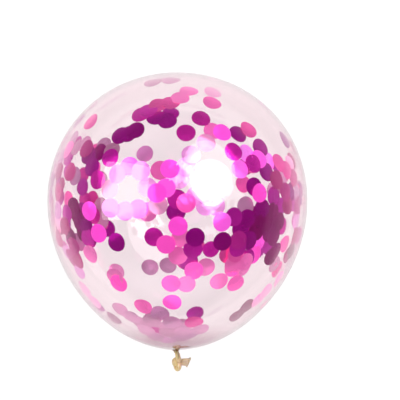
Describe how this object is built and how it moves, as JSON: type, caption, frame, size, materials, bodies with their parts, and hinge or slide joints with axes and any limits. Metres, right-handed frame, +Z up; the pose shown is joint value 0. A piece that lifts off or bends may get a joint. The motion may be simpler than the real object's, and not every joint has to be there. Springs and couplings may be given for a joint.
{
  "type": "sequin balloon",
  "caption": "Clear round latex party balloon, tied off, with shiny foil dots clinging inside its skin; it lies on a small flat.",
  "frame": {"origin": "middle of the small flat that the balloon rests on", "axes": "+Y along the balloon's long axis from the tied neck to the crown, +Z up from the surface it lies on, +X to the right, the side the tail points to"},
  "size_m": [0.28, 0.322, 0.2776],
  "materials": {
    "latex": "clear glossy latex, faintly pink, amber where it is thick at the tied neck",
    "foil_dots": "metallised plastic film, glossy magenta, on the loose dots sealed inside"
  },
  "bodies": {
    "root": {"latex_balloon": "latex"}
  },
  "joints": []
}
